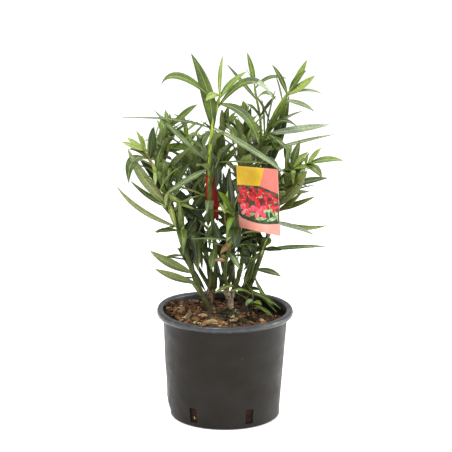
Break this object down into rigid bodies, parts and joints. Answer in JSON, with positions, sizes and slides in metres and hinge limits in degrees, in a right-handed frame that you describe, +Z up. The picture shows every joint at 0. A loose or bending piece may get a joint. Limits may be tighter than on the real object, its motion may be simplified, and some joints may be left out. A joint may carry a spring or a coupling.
{
  "type": "potted oleander",
  "caption": "Bushy potted oleander: whorled narrow leaves on upright stems from old stumps, in a round plastic grower's pot filled with bark soil, with plant labels.",
  "frame": {"origin": "middle of the pot's flat underside", "axes": "+Z up along the pot's axis, -Y towards the side with the labels, +X to the right as seen from that side"},
  "size_m": [0.3616, 0.2991, 0.6041],
  "materials": {
    "pot": "satin dark charcoal",
    "soil": "rough orange-brown bark chips",
    "stump": "rough pale grey-brown bark",
    "stem": "smooth green to brown bark",
    "leaf": "leathery satin green",
    "card": "printed plastic card",
    "strip": "plain red plastic strip",
    "tie": "teal plastic"
  },
  "bodies": {
    "root": {"pot": "pot", "soil": "soil", "stump_west": "stump", "stump_middle": "stump", "stump_east": "stump", "stem_leader": "stem", "stem_west": "stem", "stem_northwest": "stem", "stem_back_west": "stem", "stem_rear_left": "stem", "stem_centre": "stem", "stem_middle": "stem", "stem_front": "stem", "stem_rear_mid": "stem", "stem_tall_east": "stem", "stem_low_east": "stem", "stem_rear_right": "stem", "leaves_leader": "leaf", "leaves_west": "leaf", "leaves_northwest": "leaf", "leaves_back_west": "leaf", "leaves_rear_left": "leaf", "leaves_centre": "leaf", "leaves_middle": "leaf", "leaves_front": "leaf", "leaves_rear_mid": "leaf", "leaves_tall_east": "leaf", "leaves_low_east": "leaf", "leaves_rear_right": "leaf", "leaves_basal": "leaf", "label_card": "card", "label_strip": "strip", "tie": "tie"}
  },
  "joints": []
}
